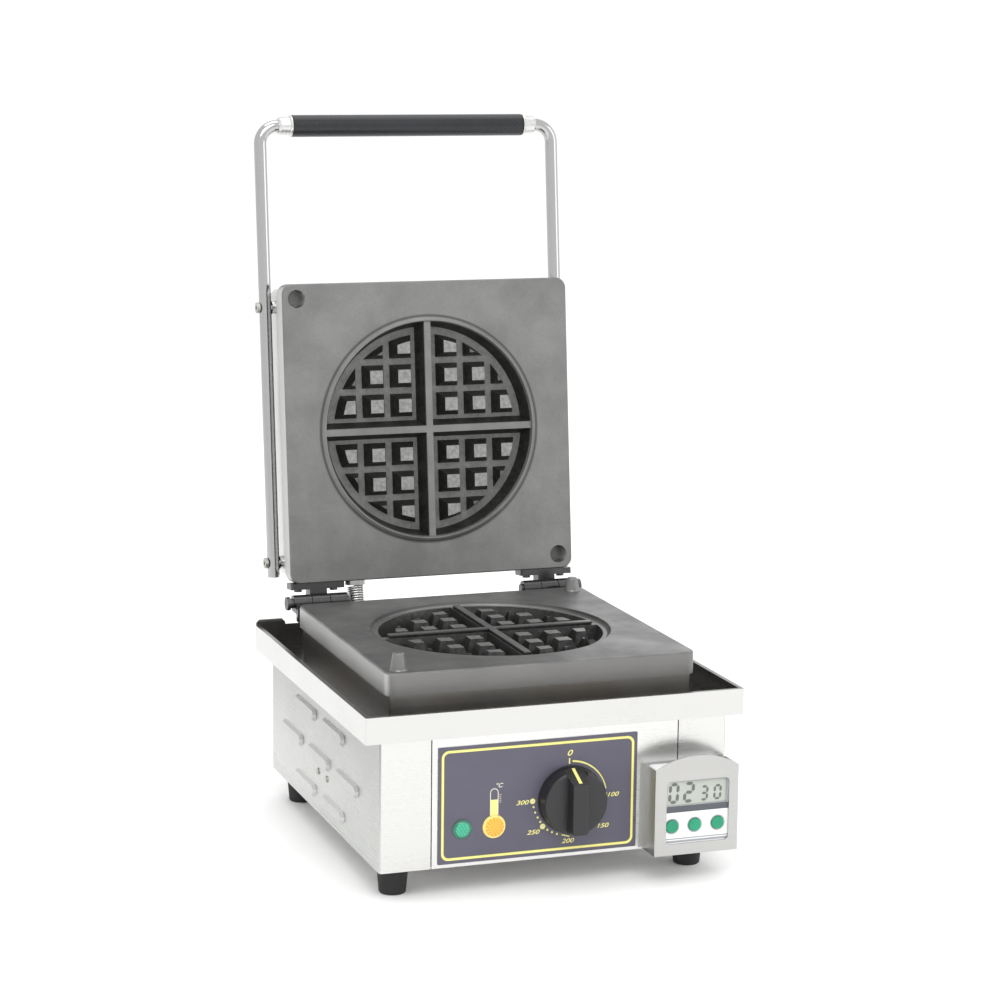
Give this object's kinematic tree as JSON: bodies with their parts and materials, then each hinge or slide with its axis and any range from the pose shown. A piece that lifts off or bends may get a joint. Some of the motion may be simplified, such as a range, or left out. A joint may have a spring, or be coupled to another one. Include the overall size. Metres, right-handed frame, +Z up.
{
  "type": "waffle maker",
  "caption": "Countertop round waffle maker with a hinged cast lid, a U-shaped handle, a drip tray, a thermostat panel and a clip-on timer",
  "frame": {"origin": "on the surface the maker stands on, under the middle of the open maker's bounding box", "axes": "+Z up, the control panel faces -Y, +X to the right as seen from the front"},
  "size_m": [0.305, 0.412, 0.5671],
  "materials": {
    "stainless": "brushed",
    "cast_iron": "seasoned casting",
    "chrome": "polished",
    "grip_black": "satin",
    "knob_black": "satin",
    "rubber": "matte",
    "label": "printed foil",
    "pointer_yellow": "matte",
    "lens_green": "translucent",
    "lens_orange": "translucent",
    "fixing_steel": "zinc plated",
    "element_steel": "heat tinted",
    "mineral_board": "pressed fibre",
    "switch_plastic": "moulded",
    "ceramic": "glazed",
    "brass": "turned",
    "timer_white": "moulded",
    "display_grey": "liquid crystal",
    "button_green": "moulded",
    "board_green": "circuit board",
    "battery": "plated"
  },
  "bodies": {
    "base": {"side_panel_left": "stainless", "side_panel_right": "stainless", "front_panel": "stainless", "rear_panel": "stainless", "bottom_plate": "stainless", "rubber_feet": "rubber", "foot_screws": "fixing_steel", "panel_screws": "fixing_steel", "drip_tray": "stainless", "heater_skirt": "stainless", "lower_plate": "cast_iron", "locating_pins": "cast_iron", "lower_element": "element_steel", "lower_element_clamp": "fixing_steel", "lower_clamp_stud": "brass", "lower_insulation": "mineral_board", "hinge_lugs": "cast_iron", "lug_screws": "fixing_steel", "hinge_pins": "fixing_steel", "lid_conduit": "fixing_steel", "conduit_gland": "brass", "control_label": "label", "green_lamp": "lens_green", "orange_lamp": "lens_orange", "lamp_housings": "switch_plastic", "thermostat_body": "switch_plastic", "thermostat_bulb": "brass", "timer_holder": "stainless", "timer_case_front": "timer_white", "timer_case_back": "timer_white", "timer_display": "display_grey", "timer_circuit_board": "board_green", "timer_battery": "battery", "terminal_block": "ceramic", "cable_gland": "switch_plastic", "gland_nut": "switch_plastic"},
    "knob": {"thermostat_knob": "knob_black", "thermostat_shaft": "fixing_steel", "knob_pointer": "pointer_yellow"},
    "button_left": {"timer_button_left": "button_green"},
    "button_middle": {"timer_button_middle": "button_green"},
    "button_right": {"timer_button_right": "button_green"},
    "lid": {"upper_plate": "cast_iron", "lid_casing": "stainless", "upper_element": "element_steel", "upper_element_clamp": "fixing_steel", "upper_clamp_stud": "brass", "upper_insulation": "mineral_board", "hinge_arms": "cast_iron", "arm_screws": "fixing_steel", "conduit_socket": "fixing_steel", "casing_screws": "fixing_steel", "handle_rod": "chrome", "handle_grip": "grip_black", "grip_ferrules": "chrome", "handle_screws": "fixing_steel", "handle_spacers": "fixing_steel"}
  },
  "joints": [
    {"name": "lid_hinge", "type": "hinge", "parent": "base", "child": "lid", "pos_m": [0, 0.112, 0.167], "axis": [1, 0, 0], "range_deg": [0, 96.27]},
    {"name": "thermostat_turn", "type": "hinge", "parent": "base", "child": "knob", "pos_m": [0.0112, -0.191, 0.0693], "axis": [0, 1, 0], "range_deg": [0, 270]},
    {"name": "button_left_press", "type": "slide", "parent": "base", "child": "button_left", "axis": [0, 1, 0], "range_m": [0, 0.0011], "stiffness_N_per_m": 400},
    {"name": "button_middle_press", "type": "slide", "parent": "base", "child": "button_middle", "axis": [0, 1, 0], "range_m": [0, 0.0011], "stiffness_N_per_m": 400},
    {"name": "button_right_press", "type": "slide", "parent": "base", "child": "button_right", "axis": [0, 1, 0], "range_m": [0, 0.0011], "stiffness_N_per_m": 400}
  ]
}
